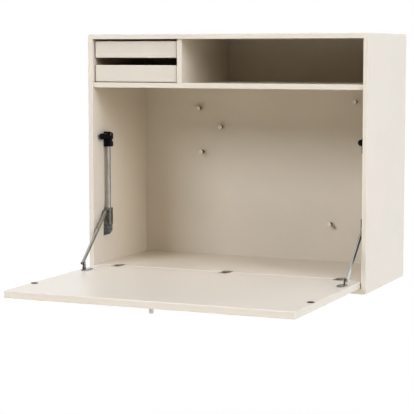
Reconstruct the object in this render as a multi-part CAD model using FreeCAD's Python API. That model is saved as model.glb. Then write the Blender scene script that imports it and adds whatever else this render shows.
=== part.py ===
import FreeCAD
import Part
import math
import os

# Fold down wall desk. A shallow cabinet hangs on the wall. Its front is a leaf that drops
# forward on three flush flap hinges and two brake stays to make a writing surface.
# Lengths are in millimetres. X runs to the right, Y into the wall and Z up.
# The origin is on the wall plane, midway between the two wall screws.

os.makedirs("parts", exist_ok=True)
Vector = FreeCAD.Vector

# Clearances
overrun = 5.0           # how far a cutting shape runs past the face that it cuts
seat_gap = 0.1          # round a piece let into another
pin_gap = 0.05          # radial, round a pin, rod, screw or dowel
end_gap = 0.5           # past the end of a dowel or screw
slide_gap = 0.4         # between pieces that slide or turn past each other
swing_gap = 0.3         # between the swinging leaf and what it swings past
stop_gap = 0.3          # between the lowered slider and the bracket that stops it

# Cabinet
cabinet_width = 696.0
cabinet_height = 582.0
cabinet_depth = 300.0
panel_thickness = 12.0
corner_radius = 4.0     # long outer edges
front_radius = 2.0      # outer front edges
inner_radius = 1.0      # inner front edges
upper_bay_height = 102.0
tray_bay_width = 218.0
inner_setback = 6.0     # shelf, divider and shut leaf lie this far behind the front edges
back_thickness = 6.0
back_rebate = 5.0
dowel_radius = 3.0
dowel_seat = 7.0        # depth in the face of a panel
dowel_tail = 11.0       # depth in the end of a panel
dowel_margin = 50.0     # from the front and the rear of the panel

# Wall fixing
screw_drop = 42.0       # wall screws below the top of the cabinet
screw_inset = 46.0      # wall screws inside the side panels
screw_hole_radius = 3.0
wall_plate_size = 36.0
wall_plate_thickness = 2.0
wall_plate_corner = 4.0

# Leaf
leaf_thickness = 16.0
leaf_side_gap = 2.0
leaf_end_gap = 1.5      # above and below the shut leaf
leaf_lap = 19.4         # how far the open leaf reaches behind the cabinet front
leaf_under_gap = 0.4    # between the open leaf and the bottom panel
leaf_edge_radius = 2.0

# Flap hinges
hinge_inset = 56.0      # outer hinges, from the side panels
hinge_width = 24.0
hinge_reach = 20.0
hinge_corner = 5.0
flange_thickness = 3.0
tongue_width = 10.0
tongue_thickness = 5.0
tongue_root = 9.0       # block behind the tongue
eye_radius = 3.5
cup_wall = 1.5
hinge_pin_radius = 2.0
hinge_pin_setback = 1.0
hinge_screw_head = 3.4
hinge_screw_shank = 1.6
hinge_screw_length = 11.0

# Brake stays. Depths across are measured from the inner face of the side panel.
stay_rise = 66.6        # lower bracket above the desk floor
rod_radius = 5.2
rod_inset = 10.5
rod_setback = 60.0      # behind the cabinet front
rod_span = 190.0        # clear length between the brackets
rod_seat = 10.0         # length held in each bracket
bracket_depth = 16.0
bracket_edge = 3.0
lower_bracket_reach = 17.4
lower_bracket_height = 27.0
lower_bracket_bevel = 9.0   # rise of the underside towards the rear
lower_bracket_cant = 4.0    # rise of the underside towards the room
top_bracket_reach = 18.4
top_bracket_height = 36.0
top_bracket_tail = 5.0      # reach behind the lower bracket
top_bracket_slope = 6.0
top_bracket_brow = 2.0      # bevel along the top edge in front
top_bracket_relief = 5.0    # bevel along the front edge at the wall side
notch_rise = 11.8
notch_height = 6.2
notch_depth = 7.0
bracket_screw_head = 3.6
bracket_screw_shank = 1.75
bracket_screw_grip = 9.0    # length in the side panel
top_screw_drop = 7.0        # screw below the top of the top bracket
lower_screw_rise = 11.4     # screw above the foot of the lower bracket
bracket_screw_offset = 3.0  # screw in front of the rod
catch_inset = 11.0
catch_rise = 26.0           # catch axis above the foot of the top bracket
catch_radius = 7.0
catch_gap = 0.4             # between the shut leaf's strike disc and the catch
magnet_radius = 4.5
magnet_length = 6.0
strike_radius = 7.5
strike_thickness = 1.6
strike_ease = 0.6
slider_wall_gap = 2.0
slider_width = 17.5
slider_depth = 16.5
slider_height = 40.5
slider_edge = 4.5
bush_radius = 6.7
bush_recess = 1.5
lug_thickness = 3.7
lug_radius = 4.2
lug_foot_drop = 20.0        # lower root of the lug below the pivot
lug_root_rise = 2.5         # upper root of the lug above the pivot
pivot_rise = 30.5           # pivot above the foot of the slider
pivot_setback = 47.0        # pivot behind the cabinet front
arm_width = 8.4
arm_thickness = 5.0
arm_edge = 1.2
pivot_pin_radius = 2.0
rivet_head_radius = 3.4
rivet_head_height = 1.2
rivet_head_ease = 0.8
foot_reach = 74.2           # foot pivot in front of the cabinet
foot_rise = 14.6            # foot pivot above the leaf
foot_plate_length = 40.0
foot_plate_width = 17.0
foot_plate_thickness = 2.0
foot_lug_thickness = 3.0
foot_lug_radius = 4.5
foot_lug_spread = 6.5       # half the width of the lug's root
foot_pin_head = 3.0
foot_pin_head_height = 1.0
foot_pin_head_ease = 0.4
foot_screw_spread = 15.0    # screws either side of the middle of the plate
foot_screw_head = 3.2
foot_screw_shank = 1.5
foot_screw_length = 12.0

# Knob under the leaf
knob_radius = 5.0
knob_length = 16.4
knob_ease = 0.8
knob_setback = 38.6         # from the free edge of the leaf
knob_stud_radius = 2.0
knob_stud_length = 9.0

# Pegs on the back panel: across from the middle, and up from the desk floor
peg_radius = 5.2
peg_length = 17.0
peg_head_length = 8.0
peg_neck_radius = 2.8
peg_ease = 0.8
peg_spigot_radius = 3.0
peg_spigot_length = 4.0
peg_shares = (
    (-0.543, 0.868),
    (-0.368, 0.758),
    (-0.521, 0.610),
    (0.679, 0.916),
    (0.495, 0.217),
)

# Trays
tray_setback = 10.0
tray_side_gap = 2.0
tray_low_gap = 1.5
tray_finger_gap = 17.0
tray_top_gap = 4.3
tray_front_thickness = 12.0
tray_front_round = 2.6
tray_wall = 9.0
tray_wall_drop = 5.0        # top of the walls below the top of the front
tray_base_rise = 3.0
tray_base_thickness = 4.0
tray_rear_space = 24.0
groove_depth = 5.0
runner_height = 6.0
runner_setback = 4.0        # front end of a runner behind the tray front

# Places worked out from the sizes above
right = Vector(1, 0, 0)
rearward = Vector(0, 1, 0)
up = Vector(0, 0, 1)
touch = 1e-6
parallel_share = 0.999

front_y = -cabinet_depth
back_y = -back_thickness
setback_y = front_y + inner_setback
inner_x = cabinet_width / 2 - panel_thickness
top_z = screw_drop
bottom_z = top_z - cabinet_height
bay_top_z = top_z - panel_thickness
shelf_top_z = bay_top_z - upper_bay_height
shelf_under_z = shelf_top_z - panel_thickness
deck_z = bottom_z + panel_thickness
divider_x = -inner_x + tray_bay_width

leaf_back_y = front_y + leaf_lap
leaf_length = shelf_under_z - deck_z - 2 * leaf_end_gap
leaf_free_y = leaf_back_y - leaf_length
leaf_half = inner_x - leaf_side_gap
leaf_under_z = deck_z + leaf_under_gap
leaf_top_z = leaf_under_z + leaf_thickness

# A quarter turn about the hinge axis carries the under face of the open leaf to the setback
# plane, and its back end to just above the bottom panel.
shut_end_z = deck_z + leaf_end_gap
axis_y = (setback_y - leaf_under_z + shut_end_z + leaf_back_y) / 2
axis_z = (shut_end_z + leaf_back_y - setback_y + leaf_under_z) / 2
swing_arm_y = leaf_back_y - leaf_edge_radius - axis_y
swing_arm_z = leaf_top_z - leaf_edge_radius - axis_z
swing_radius = math.hypot(swing_arm_y, swing_arm_z) + leaf_edge_radius
heel_radius = axis_z - deck_z - swing_gap
floor_front_y = axis_y + swing_radius + swing_gap
hinge_x = inner_x - hinge_inset
eye_room = eye_radius + slide_gap
cup_reach = leaf_back_y - axis_y + eye_room + cup_wall

rod_x = inner_x - rod_inset
rod_y = front_y + rod_setback
lower_bracket_z = leaf_top_z + stay_rise
slider_z = lower_bracket_z + lower_bracket_height + stop_gap
top_bracket_z = lower_bracket_z + lower_bracket_height + rod_span
catch_z = top_bracket_z + catch_rise
catch_x = inner_x - catch_inset
catch_y = setback_y + leaf_thickness + strike_thickness + catch_gap
strike_y = axis_y + axis_z - catch_z
slider_front_y = rod_y - slider_depth / 2
pivot = (front_y + pivot_setback, slider_z + pivot_rise)
foot = (front_y - foot_reach, leaf_top_z + foot_rise)
arm_inset = slider_wall_gap + lug_thickness + slide_gap
arm_x = (inner_x - arm_inset - arm_thickness, inner_x - arm_inset)
foot_lug_x = (arm_x[0] - slide_gap - foot_lug_thickness, arm_x[0] - slide_gap)
foot_plate_x = (foot_lug_x[1] - foot_plate_width, foot_lug_x[1])
foot_plate_y = foot[0]
foot_screw_x = (foot_plate_x[0] + foot_lug_x[0]) / 2

bay_x = (-inner_x, divider_x)
tray_x = (bay_x[0] + tray_side_gap, bay_x[1] - tray_side_gap)
tray_gaps = tray_low_gap + tray_finger_gap + tray_top_gap
tray_front_height = (upper_bay_height - tray_gaps) / 2
lower_tray_z = shelf_top_z + tray_low_gap
upper_tray_z = lower_tray_z + tray_front_height + tray_finger_gap
tray_front_y = (front_y + tray_setback, front_y + tray_setback + tray_front_thickness)
tray_rear_y = back_y - tray_rear_space
tray_wall_height = tray_front_height - tray_wall_drop
runner_rise = (tray_wall_height - runner_height) / 2


def span(one, other):
    """Two places on an axis, the lower first."""
    return (min(one, other), max(one, other))


def block(x, y, z):
    """A box between pairs of places on the three axes."""
    corner = Vector(x[0], y[0], z[0])
    return Part.makeBox(x[1] - x[0], y[1] - y[0], z[1] - z[0], corner)


def bar(radius, start, end):
    """A round bar from one point to another."""
    return Part.makeCylinder(radius, (end - start).Length, start, end - start)


def prism(points, run):
    """A flat outline of straight lines, drawn out along a run."""
    return Part.Face(Part.makePolygon(points + points[:1])).extrude(run)


def joined(first, *others):
    """Shapes fused to one solid with no seams in its faces."""
    return first.fuse(list(others)).removeSplitter()


def edges_along(shape, direction):
    """The straight edges of a shape that run along a direction."""
    found = []
    for edge in shape.Edges:
        if isinstance(edge.Curve, Part.Line):
            run = edge.tangentAt(edge.FirstParameter)
            if abs(run.dot(direction)) > parallel_share:
                found.append(edge)
    return found


def edges_at(edges, direction, place):
    """Those edges that lie in the plane at one place along a direction."""
    found = []
    for edge in edges:
        offsets = [vertex.Point.dot(direction) - place for vertex in edge.Vertexes]
        if all(abs(offset) < touch for offset in offsets):
            found.append(edge)
    return found


def rounded_block(x, y, z, radius):
    """A box with all its edges rounded."""
    shape = block(x, y, z)
    return shape.makeFillet(radius, shape.Edges)


def eased_bar(radius, start, end, ease):
    """A round bar with its far edge eased by a chamfer."""
    shape = bar(radius, start, end)
    direction = (end - start).normalize()
    return shape.makeChamfer(ease, edges_at(shape.Edges, direction, end.dot(direction)))


def countersunk(head, tip, head_radius, shank_radius, grow=0):
    """A countersunk screw, or with grow the hole that it sits in."""
    run = tip - head
    length = run.Length + (end_gap if grow else 0)
    cone = Part.makeCone(head_radius + grow, shank_radius + grow, head_radius - shank_radius, head, run)
    shank = Part.makeCylinder(shank_radius + grow, length, head, run)
    return joined(cone, shank)


def mirrored(shape):
    """The same piece on the other side of the desk."""
    return shape.mirror(Vector(0, 0, 0), right)


def save(name, *shapes):
    """Write one node, as a single solid or as a group of separate solids."""
    solids = [solid for shape in shapes for solid in shape.Solids]
    for solid in solids:
        if not solid.isValid() or solid.Volume <= 0:
            raise ValueError("bad solid in " + name)
    node = solids[0] if len(solids) == 1 else Part.makeCompound(solids)
    node.exportStep("parts/" + name + ".step")
    print(name, len(solids), round(node.Volume))


# Cabinet

def dowel_runs():
    """Start and end of each dowel, from its seat in a panel face to its tail in a panel end."""
    runs = []
    for y in (setback_y + dowel_margin, back_y - dowel_margin):
        shelf_z = shelf_top_z - panel_thickness / 2
        for side in (-1, 1):
            seat = Vector(side * (inner_x + dowel_seat), y, shelf_z)
            runs.append((seat, Vector(side * (inner_x - dowel_tail), y, shelf_z)))
        x = divider_x + panel_thickness / 2
        runs.append((Vector(x, y, bay_top_z + dowel_seat), Vector(x, y, bay_top_z - dowel_tail)))
        runs.append((Vector(x, y, shelf_top_z - dowel_seat), Vector(x, y, shelf_top_z + dowel_tail)))
    return runs


def dowel_holes():
    """Holes for the dowels, a little long at both ends."""
    holes = []
    for start, end in dowel_runs():
        spare = (end - start).normalize() * end_gap
        holes.append(bar(dowel_radius + pin_gap, start - spare, end + spare))
    return Part.makeCompound(holes)


def cabinet_ring():
    """The four outer panels before they are parted at their mitres."""
    outer_x = cabinet_width / 2
    ring = block((-outer_x, outer_x), (front_y, 0), (bottom_z, top_z))
    ring = ring.makeFillet(corner_radius, edges_along(ring, rearward))
    ring = ring.makeFillet(front_radius, edges_at(ring.Edges, rearward, front_y))
    opening = block((-inner_x, inner_x), (front_y - overrun, overrun), (deck_z, bay_top_z))
    ring = ring.cut(opening)
    front_edges = edges_at(ring.Edges, rearward, front_y)
    inside = [edge for edge in front_edges if abs(edge.CenterOfMass.x) < inner_x + touch]
    inside = [edge for edge in inside if deck_z - touch < edge.CenterOfMass.z < bay_top_z + touch]
    ring = ring.makeFillet(inner_radius, inside)
    return ring.cut(back_blank())


def back_blank():
    """The back panel before drilling, let into a rebate round the rear of the cabinet."""
    half = inner_x + back_rebate
    return block((-half, half), (back_y, 0), (deck_z - back_rebate, bay_top_z + back_rebate))


def cabinet_panels():
    """Side, top and bottom panels, mitred at the corners and drilled for dowels and screws."""
    outer_x = cabinet_width / 2
    outer = [(-outer_x, bottom_z), (outer_x, bottom_z), (outer_x, top_z), (-outer_x, top_z)]
    inner = [(-inner_x, deck_z), (inner_x, deck_z), (inner_x, bay_top_z), (-inner_x, bay_top_z)]
    names = ("bottom_panel", "right_side_panel", "top_panel", "left_side_panel")
    ring = cabinet_ring()
    screws = [bracket_screw(place, pin_gap) for place in bracket_screw_places()]
    holes = Part.makeCompound([dowel_holes()] + screws + [mirrored(screw) for screw in screws])
    panels = {}
    for index, name in enumerate(names):
        after = (index + 1) % len(names)
        outline = [outer[index], outer[after], inner[after], inner[index]]
        wedge = prism([Vector(x, front_y, z) for x, z in outline], rearward * cabinet_depth)
        panels[name] = ring.common(wedge).cut(holes)
    return panels


def back_panel():
    """Back panel with the wall-screw holes and the peg holes."""
    cutters = []
    for x in wall_screw_places():
        cutters.append(bar(screw_hole_radius, Vector(x, back_y - overrun, 0), Vector(x, overrun, 0)))
    for x, z in peg_places():
        root = Vector(x, back_y - overrun, z)
        tip = Vector(x, back_y + peg_spigot_length + pin_gap, z)
        cutters.append(bar(peg_spigot_radius + pin_gap, root, tip))
    return back_blank().cut(Part.makeCompound(cutters))


def middle_shelf():
    """Shelf between the desk compartment and the upper bays."""
    shelf = block((-inner_x, inner_x), (setback_y, back_y), (shelf_under_z, shelf_top_z))
    shelf = shelf.makeFillet(inner_radius, edges_at(edges_along(shelf, right), rearward, setback_y))
    return shelf.cut(dowel_holes())


def divider():
    """Upright between the tray bay and the open bay."""
    across = (divider_x, divider_x + panel_thickness)
    upright = block(across, (setback_y, back_y), (shelf_top_z, bay_top_z))
    upright = upright.makeFillet(inner_radius, edges_at(edges_along(upright, up), rearward, setback_y))
    return upright.cut(dowel_holes())


def wall_screw_places():
    """Places across the wall of the two wall screws."""
    return (screw_inset - inner_x, inner_x - screw_inset)


def wall_plates():
    """Steel plates that spread the load of the wall screws on the back panel."""
    plates = []
    half = wall_plate_size / 2
    for x in wall_screw_places():
        plate = block((x - half, x + half), (back_y - wall_plate_thickness, back_y), (-half, half))
        plate = plate.makeFillet(wall_plate_corner, edges_along(plate, rearward))
        hole = bar(screw_hole_radius, Vector(x, back_y - overrun, 0), Vector(x, overrun, 0))
        plates.append(plate.cut(hole))
    return plates


def peg_places():
    """Places of the pegs across and up the back of the desk compartment."""
    height = shelf_under_z - leaf_top_z
    return [(x * inner_x, leaf_top_z + z * height) for x, z in peg_shares]


def pegs():
    """Round pegs for notes and cords: a head on a neck, and a spigot in the back panel."""
    shapes = []
    for x, z in peg_places():
        root = Vector(x, back_y, z)
        tip = root - rearward * peg_length
        head = eased_bar(peg_radius, tip + rearward * peg_head_length, tip, peg_ease)
        neck = bar(peg_neck_radius, tip + rearward * peg_head_length, root)
        spigot = bar(peg_spigot_radius, root, root + rearward * peg_spigot_length)
        shapes.append(joined(head, neck, spigot))
    return shapes


# Desk floor, leaf and flap hinges

def floor_blank():
    """Raised desk floor before the hinges are let in; its front edge is rounded."""
    floor = block((-inner_x, inner_x), (floor_front_y, back_y), (deck_z, leaf_top_z))
    brow = edges_at(edges_at(floor.Edges, rearward, floor_front_y), up, leaf_top_z)
    return floor.makeFillet(leaf_edge_radius, brow)


def leaf_blank():
    """Leaf before anything is let in; its heel is a round about the hinge axis."""
    across = (-leaf_half, leaf_half)
    board = rounded_block(across, (leaf_free_y, leaf_back_y), (leaf_under_z, leaf_top_z), leaf_edge_radius)
    past = (-inner_x, inner_x)
    corner = block(past, (axis_y, leaf_back_y + overrun), (leaf_under_z - overrun, axis_z))
    heel = bar(heel_radius, Vector(past[0], axis_y, axis_z), Vector(past[1], axis_y, axis_z))
    return board.cut(corner.cut(heel))


def hinge_places():
    """Places across the desk of the flap hinges, with their names."""
    return (("left", -hinge_x), ("middle", 0), ("right", hinge_x))


def hinge_half(x, edge, away, root_reach, root_z, grow=0, past=0):
    """Flush flange with a deeper root at the panel's edge, or with grow the mortise for it."""
    across = (x - hinge_width / 2 - grow, x + hinge_width / 2 + grow)
    start = edge - away * past
    far = edge + away * (hinge_reach + grow)
    flange = block(across, span(start, far), (leaf_top_z - flange_thickness, leaf_top_z + past))
    flange = flange.makeFillet(hinge_corner, edges_at(edges_along(flange, up), rearward, far))
    root = block(across, span(start, edge + away * (root_reach + grow)), (root_z, leaf_top_z + past))
    return joined(flange, root)


def cup_shape(x, grow=0, past=0):
    """Hinge half let into the leaf."""
    return hinge_half(x, leaf_back_y, -1, cup_reach, axis_z - eye_room - cup_wall, grow, past)


def plate_shape(x, grow=0, past=0):
    """Hinge half let into the desk floor."""
    root_z = axis_z - tongue_thickness / 2 - cup_wall
    return hinge_half(x, floor_front_y, 1, tongue_root, root_z, grow, past)


def hinge_screw(x, away, grow=0):
    """Screw through the flange of one hinge half."""
    edge = leaf_back_y if away < 0 else floor_front_y
    root = cup_reach if away < 0 else tongue_root
    head = Vector(x, edge + away * (hinge_reach + root) / 2, leaf_top_z)
    tip = head - up * hinge_screw_length
    return countersunk(head, tip, hinge_screw_head, hinge_screw_shank, grow)


def hinge_pin(x, grow=0):
    """Pin of one flap hinge, through the eye of its tongue."""
    half = hinge_width / 2 - hinge_pin_setback + grow
    return bar(hinge_pin_radius + grow, Vector(x - half, axis_y, axis_z), Vector(x + half, axis_y, axis_z))


def hinge_cup(x, leaf):
    """Leaf half of a flap hinge: two cheeks either side of a notch for the tongue."""
    half = tongue_width / 2 + slide_gap
    notch_y = (axis_y - eye_room, leaf_back_y + overrun)
    notch = block((x - half, x + half), notch_y, (axis_z - eye_room, leaf_top_z + overrun))
    cup = cup_shape(x).common(leaf)
    return cup.cut(Part.makeCompound([notch, hinge_pin(x, pin_gap)])).cut(hinge_screw(x, -1, pin_gap))


def hinge_plate(x, floor):
    """Floor half of a flap hinge: a flange with a tongue that ends in an eye on the pin."""
    half = tongue_width / 2
    rise = tongue_thickness / 2
    across = (x - half, x + half)
    tongue = block(across, (axis_y, floor_front_y + tongue_root), (axis_z - rise, axis_z + rise))
    eye = bar(eye_radius, Vector(across[0], axis_y, axis_z), Vector(across[1], axis_y, axis_z))
    plate = joined(plate_shape(x).common(floor), tongue, eye)
    return plate.cut(hinge_pin(x, pin_gap)).cut(hinge_screw(x, 1, pin_gap))


def desk_floor(floor):
    """Desk floor with the mortises for the hinge plates."""
    mortises = [plate_shape(x, seat_gap, overrun) for name, x in hinge_places()]
    holes = [hinge_screw(x, 1, pin_gap) for name, x in hinge_places()]
    return floor.cut(Part.makeCompound(mortises)).cut(Part.makeCompound(holes))


def drop_leaf(leaf):
    """Leaf with the mortises for the hinge cups and the holes for the screws and the knob."""
    mortises = [cup_shape(x, seat_gap, overrun) for name, x in hinge_places()]
    holes = [hinge_screw(x, -1, pin_gap) for name, x in hinge_places()]
    for y in foot_screw_places():
        hole = foot_screw(y, pin_gap)
        holes += [hole, mirrored(hole)]
    holes.append(knob_stud(pin_gap))
    return leaf.cut(Part.makeCompound(mortises)).cut(Part.makeCompound(holes))


# Knob

def knob_stud(grow=0):
    """Stud of the knob, screwed into the leaf, or its hole."""
    root = Vector(0, leaf_free_y + knob_setback, leaf_under_z)
    return bar(knob_stud_radius + grow, root, root + up * (knob_stud_length + grow))


def pull_knob():
    """Turned knob under the free edge of the leaf."""
    root = Vector(0, leaf_free_y + knob_setback, leaf_under_z)
    return joined(eased_bar(knob_radius, root, root - up * knob_length, knob_ease), knob_stud())


# Brake stays, drawn for the right-hand side

def tangent_point(point, centre, radius, away_from):
    """Where a line from a point touches a circle, on the side away from another point."""
    run = (point[0] - centre[0], point[1] - centre[1])
    heading = math.atan2(run[1], run[0])
    turn = math.acos(radius / math.hypot(*run))
    found = []
    for angle in (heading - turn, heading + turn):
        found.append((centre[0] + radius * math.cos(angle), centre[1] + radius * math.sin(angle)))
    return max(found, key=lambda place: math.dist(place, away_from))


def lug(first, second, centre, radius, across):
    """A flat lug from two root points to a round eye, with sides tangent to the eye."""
    start = tangent_point(first, centre, radius, second)
    end = tangent_point(second, centre, radius, first)
    reach = (centre[0] - (first[0] + second[0]) / 2, centre[1] - (first[1] + second[1]) / 2)
    length = math.hypot(*reach)
    crown = (centre[0] + reach[0] / length * radius, centre[1] + reach[1] / length * radius)
    corners = [Vector(across[0], y, z) for y, z in (first, start, crown, end, second)]
    outline = Part.Wire([
        Part.LineSegment(corners[0], corners[1]).toShape(),
        Part.Arc(corners[1], corners[2], corners[3]).toShape(),
        Part.LineSegment(corners[3], corners[4]).toShape(),
        Part.LineSegment(corners[4], corners[0]).toShape(),
    ])
    return Part.Face(outline).extrude(right * (across[1] - across[0]))


def cross_bar(radius, place, across):
    """A round bar across the desk at a place in the plane of the stay."""
    return bar(radius, Vector(across[0], *place), Vector(across[1], *place))


def rod_bar(radius, z):
    """A round bar on the line of the guide rod."""
    return bar(radius, Vector(rod_x, rod_y, z[0]), Vector(rod_x, rod_y, z[1]))


def rod_ends():
    """Lower and upper end of the guide rod."""
    return (slider_z - stop_gap - rod_seat, top_bracket_z + rod_seat)


def rod_bore():
    """Blind holes for the ends of the guide rod."""
    low, high = rod_ends()
    return rod_bar(rod_radius + pin_gap, (low - pin_gap, high + pin_gap))


def bracket_screw_places():
    """Depth, height and bracket reach at each bracket screw."""
    y = rod_y - bracket_screw_offset
    lower = (y, lower_bracket_z + lower_screw_rise, lower_bracket_reach)
    upper = (y, top_bracket_z + top_bracket_height - top_screw_drop, top_bracket_reach)
    return (lower, upper)


def bracket_screw(place, grow=0):
    """Screw through a bracket into the side panel."""
    y, z, reach = place
    tip = Vector(inner_x + bracket_screw_grip, y, z)
    return countersunk(Vector(inner_x - reach, y, z), tip, bracket_screw_head, bracket_screw_shank, grow)


def bracket_block(reach, z, tail=0):
    """Plain block against the side panel, rounded on its room-side edges."""
    y = (rod_y - bracket_depth / 2, rod_y + bracket_depth / 2 + tail)
    shape = block((inner_x - reach, inner_x), y, z)
    return shape.makeFillet(bracket_edge, edges_at(edges_along(shape, up), right, inner_x - reach))


def lower_bracket():
    """Foot of the guide rod, with a bevelled underside; the lowered slider stops on it."""
    low = lower_bracket_z
    shape = bracket_block(lower_bracket_reach, (low, low + lower_bracket_height))
    front = rod_y - bracket_depth / 2
    rear = rod_y + bracket_depth / 2
    under = low - overrun
    bevel = [(front, under), (rear, under), (rear, low + lower_bracket_bevel), (front, low)]
    run = up * lower_bracket_cant - right * lower_bracket_reach
    shape = shape.cut(prism([Vector(inner_x, y, z) for y, z in bevel], run)).cut(rod_bore())
    return shape.cut(bracket_screw(bracket_screw_places()[0], pin_gap))


def catch_bar(radius, y):
    """A round bar on the line of the catch."""
    return bar(radius, Vector(catch_x, y[0], catch_z), Vector(catch_x, y[1], catch_z))


def top_bracket():
    """Head of the guide rod, notched behind, with the barrel of the magnetic catch in front."""
    high = top_bracket_z + top_bracket_height
    shape = bracket_block(top_bracket_reach, (top_bracket_z, high), top_bracket_tail)
    front = rod_y - bracket_depth / 2
    rear = rod_y + bracket_depth / 2 + top_bracket_tail
    start = inner_x - top_bracket_reach
    wall_edges = edges_at(edges_along(shape, up), right, inner_x)
    shape = shape.makeChamfer(top_bracket_relief, edges_at(wall_edges, rearward, front))
    brow = edges_at(edges_along(shape, right), up, high)
    shape = shape.makeChamfer(top_bracket_brow, edges_at(brow, rearward, front))
    slope = [(rod_y, high), (rear, high - top_bracket_slope), (rear, high)]
    slope_cut = prism([Vector(start, y, z) for y, z in slope], right * top_bracket_reach)
    notch_z = top_bracket_z + notch_rise
    notch = block((start, inner_x), (rear - notch_depth, rear), (notch_z, notch_z + notch_height))
    shape = joined(shape.cut(slope_cut).cut(notch), catch_bar(catch_radius, (catch_y, rod_y)))
    seat = catch_bar(magnet_radius + pin_gap, (catch_y - overrun, catch_y + magnet_length))
    return shape.cut(seat).cut(rod_bore()).cut(bracket_screw(bracket_screw_places()[1], pin_gap))


def catch_magnet():
    """Magnet in the mouth of the catch barrel."""
    return catch_bar(magnet_radius, (catch_y, catch_y + magnet_length))


def slider():
    """Slider on the guide rod, with the lug that the arm is pinned beside."""
    outer = inner_x - slider_wall_gap
    across = (outer - slider_width, outer)
    rear = slider_front_y + slider_depth
    body = block(across, (slider_front_y, rear), (slider_z, slider_z + slider_height))
    body = body.makeFillet(slider_edge, edges_along(body, up))
    root_y = slider_front_y + slider_edge
    upper_root = (root_y, pivot[1] + lug_root_rise)
    lower_root = (root_y, pivot[1] - lug_foot_drop)
    plate_x = (outer - lug_thickness, outer)
    plate = lug(upper_root, lower_root, pivot, lug_radius, plate_x)
    shape = joined(body, plate)
    bore = rod_bar(bush_radius + pin_gap, (slider_z - overrun, slider_z + slider_height + overrun))
    return shape.cut(bore).cut(cross_bar(pivot_pin_radius + pin_gap, pivot, plate_x))


def brake_bush():
    """Friction bush inside the slider, gripping the guide rod."""
    z = (slider_z + bush_recess, slider_z + slider_height - bush_recess)
    return rod_bar(bush_radius, z).cut(rod_bar(rod_radius + pin_gap, z))


def arm():
    """Flat arm with round ends, from the foot pivot on the leaf to the pivot on the slider."""
    radius = arm_width / 2
    run = (pivot[0] - foot[0], pivot[1] - foot[1])
    length = math.hypot(*run)
    along = Vector(0, run[0] / length, run[1] / length)
    beside = Vector(0, -along.z, along.y)
    low = Vector(arm_x[0], *foot)
    high = Vector(arm_x[0], *pivot)
    corners = [low + beside * radius, high + beside * radius, high - beside * radius, low - beside * radius]
    outline = Part.Wire([
        Part.LineSegment(corners[0], corners[1]).toShape(),
        Part.Arc(corners[1], high + along * radius, corners[2]).toShape(),
        Part.LineSegment(corners[2], corners[3]).toShape(),
        Part.Arc(corners[3], low - along * radius, corners[0]).toShape(),
    ])
    shape = Part.Face(outline).extrude(right * arm_thickness)
    rims = edges_at(shape.Edges, right, arm_x[0]) + edges_at(shape.Edges, right, arm_x[1])
    shape = shape.makeFillet(arm_edge, rims)
    for place in (foot, pivot):
        shape = shape.cut(cross_bar(pivot_pin_radius + pin_gap, place, arm_x))
    return shape


def arm_rivet():
    """Domed rivet in the upper eye of the arm."""
    face = Vector(arm_x[0], *pivot)
    head = eased_bar(rivet_head_radius, face, face - right * rivet_head_height, rivet_head_ease)
    return joined(head, cross_bar(pivot_pin_radius, pivot, arm_x))


def foot_plate():
    """Foot on the leaf: a flat plate with round ends and a lug that holds the foot pin."""
    radius = foot_plate_width / 2
    middle_x = (foot_plate_x[0] + foot_plate_x[1]) / 2
    straight = foot_plate_length / 2 - radius
    y = (foot_plate_y - straight, foot_plate_y + straight)
    z = (leaf_top_z, leaf_top_z + foot_plate_thickness)
    ends = [bar(radius, Vector(middle_x, place, z[0]), Vector(middle_x, place, z[1])) for place in y]
    upright = lug(
        (foot[0] - foot_lug_spread, z[0]), (foot[0] + foot_lug_spread, z[0]),
        foot, foot_lug_radius, foot_lug_x)
    shape = joined(block(foot_plate_x, y, z), *ends, upright)
    shape = shape.cut(cross_bar(pivot_pin_radius + pin_gap, foot, foot_lug_x))
    for place in foot_screw_places():
        shape = shape.cut(foot_screw(place, pin_gap))
    return shape


def foot_pin():
    """Pin of the foot pivot, headed at both ends."""
    inner = foot_lug_x[0]
    outer = arm_x[1] + slide_gap
    shank = cross_bar(pivot_pin_radius, foot, (inner, outer))
    heads = []
    for x, way in ((inner, -1), (outer, 1)):
        start = Vector(x, *foot)
        end = start + right * way * foot_pin_head_height
        heads.append(eased_bar(foot_pin_head, start, end, foot_pin_head_ease))
    return joined(shank, *heads)


def foot_screw_places():
    """Depths of the two screws of a foot plate."""
    return (foot_plate_y - foot_screw_spread, foot_plate_y + foot_screw_spread)


def foot_screw(y, grow=0):
    """Screw through the foot plate into the leaf."""
    head = Vector(foot_screw_x, y, leaf_top_z + foot_plate_thickness)
    return countersunk(head, head - up * foot_screw_length, foot_screw_head, foot_screw_shank, grow)


def strike_disc():
    """Steel disc on the leaf that the catch magnet holds."""
    root = Vector(catch_x, strike_y, leaf_top_z)
    return eased_bar(strike_radius, root, root + up * strike_thickness, strike_ease)


# Trays

def tray_pieces(low):
    """Front, walls and base of one tray, standing at a height."""
    walls_z = (low, low + tray_wall_height)
    box_y = (tray_front_y[1], tray_rear_y)
    inner = (tray_x[0] + tray_wall, tray_x[1] - tray_wall)
    base_z = (low + tray_base_rise, low + tray_base_rise + tray_base_thickness)
    grooves = Part.makeCompound(runner_grooves(low))
    return {
        "front": rounded_block(tray_x, tray_front_y, (low, low + tray_front_height), tray_front_round),
        "left_side": block((tray_x[0], inner[0]), box_y, walls_z).cut(grooves),
        "right_side": block((inner[1], tray_x[1]), box_y, walls_z).cut(grooves),
        "back": block(inner, (tray_rear_y - tray_wall, tray_rear_y), walls_z),
        "base": block(inner, (tray_front_y[1], tray_rear_y - tray_wall), base_z),
    }


def runner_pair(low, reach, y, grow=0):
    """Strips along both walls of the tray bay at the height of one tray's runners."""
    z = (low + runner_rise - grow, low + runner_rise + runner_height + grow)
    left = block((bay_x[0], bay_x[0] + reach), y, z)
    return [left, block((bay_x[1] - reach, bay_x[1]), y, z)]


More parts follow.
